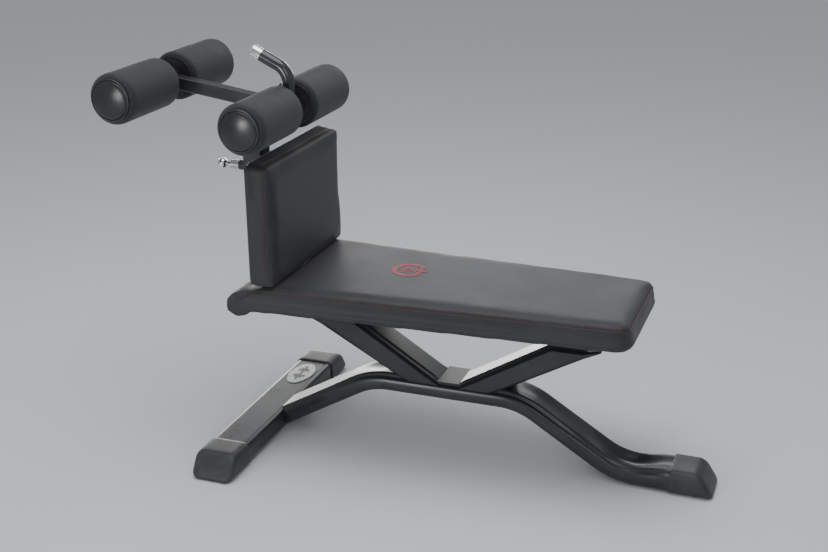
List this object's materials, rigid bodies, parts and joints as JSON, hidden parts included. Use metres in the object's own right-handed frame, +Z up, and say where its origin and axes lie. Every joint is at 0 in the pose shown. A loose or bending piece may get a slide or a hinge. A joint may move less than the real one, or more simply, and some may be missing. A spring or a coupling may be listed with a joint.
{
  "type": "adjustable weight bench",
  "caption": "Low crunch bench: tapered back pad, upright leg pad, foam roller leg hold on a height-adjustable post with pop pin, V support on a bent flat tube base.",
  "frame": {"origin": "on the floor, at the centre of the overall box", "axes": "+X along the bench towards the head end, +Y across it to the right of a person lying on it, +Z up"},
  "size_m": [1.4, 0.698, 0.9441],
  "materials": {
    "frame_paint": "satin powder coat",
    "rubber_cap": "satin",
    "badge_white": "gloss",
    "badge_dark": "gloss",
    "black_plastic": "matte",
    "satin_plastic": "satin",
    "roller_foam": "matte foam",
    "leatherette": "satin leatherette",
    "plywood": "raw",
    "zinc_steel": "zinc plated",
    "bright_chrome": "polished"
  },
  "bodies": {
    "frame": {"front_foot_tube": "frame_paint", "front_foot_cap_left": "rubber_cap", "front_foot_cap_right": "rubber_cap", "badge": "badge_white", "badge_icon": "badge_dark", "base_tube": "frame_paint", "rear_foot_cap": "rubber_cap", "v_front_leg": "frame_paint", "v_rear_leg": "frame_paint", "v_saddle": "frame_paint", "seat_beam": "frame_paint", "seat_beam_plug": "black_plastic", "upright_sleeve": "frame_paint", "sleeve_liner": "black_plastic", "sleeve_plug": "black_plastic", "pop_pin_boss": "frame_paint", "pop_pin_barrel": "zinc_steel", "pop_pin_spring": "zinc_steel", "pad_mount_front": "frame_paint", "pad_mount_rear": "frame_paint", "pad_mount_bolts": "zinc_steel", "back_pad_board": "plywood", "back_pad": "leatherette", "leg_pad_bracket_lower": "frame_paint", "leg_pad_bracket_upper": "frame_paint", "leg_pad_bolts": "zinc_steel", "leg_pad_board": "plywood", "leg_pad": "leatherette"},
    "plunger": {"pop_pin_plunger": "bright_chrome", "pop_pin_knob": "bright_chrome"},
    "carriage": {"inner_post": "bright_chrome", "post_collar": "frame_paint", "roller_arm": "frame_paint", "knee_hub": "frame_paint", "ankle_hub": "frame_paint", "knee_axle": "zinc_steel", "ankle_axle": "zinc_steel", "knee_axle_bolts": "zinc_steel", "ankle_axle_bolts": "zinc_steel", "handle_tube": "frame_paint", "handle_grip": "satin_plastic", "handle_cap": "bright_chrome"},
    "roller_knee_left": {"knee_left_foam": "roller_foam", "knee_left_core": "black_plastic", "knee_left_inner_cap": "black_plastic", "knee_left_dome": "satin_plastic"},
    "roller_knee_right": {"knee_right_foam": "roller_foam", "knee_right_core": "black_plastic", "knee_right_inner_cap": "black_plastic", "knee_right_dome": "satin_plastic"},
    "roller_ankle_left": {"ankle_left_foam": "roller_foam", "ankle_left_core": "black_plastic", "ankle_left_inner_cap": "black_plastic", "ankle_left_dome": "satin_plastic"},
    "roller_ankle_right": {"ankle_right_foam": "roller_foam", "ankle_right_core": "black_plastic", "ankle_right_inner_cap": "black_plastic", "ankle_right_dome": "satin_plastic"}
  },
  "joints": [
    {"name": "roller_height", "type": "slide", "parent": "frame", "child": "carriage", "axis": [0, 0, 1], "range_m": [0, 0.15]},
    {"name": "pin_pull", "type": "slide", "parent": "frame", "child": "plunger", "axis": [-1, 0, 0], "range_m": [-0.01, 0]},
    {"name": "knee_left_spin", "type": "hinge", "parent": "carriage", "child": "roller_knee_left", "pos_m": [-0.33, -0.135, 0.805], "axis": [0, 1, 0], "continuous": true},
    {"name": "knee_right_spin", "type": "hinge", "parent": "carriage", "child": "roller_knee_right", "pos_m": [-0.33, 0.135, 0.805], "axis": [0, 1, 0], "continuous": true},
    {"name": "ankle_left_spin", "type": "hinge", "parent": "carriage", "child": "roller_ankle_left", "pos_m": [-0.642, -0.135, 0.85], "axis": [0, 1, 0], "continuous": true},
    {"name": "ankle_right_spin", "type": "hinge", "parent": "carriage", "child": "roller_ankle_right", "pos_m": [-0.642, 0.135, 0.85], "axis": [0, 1, 0], "continuous": true}
  ]
}
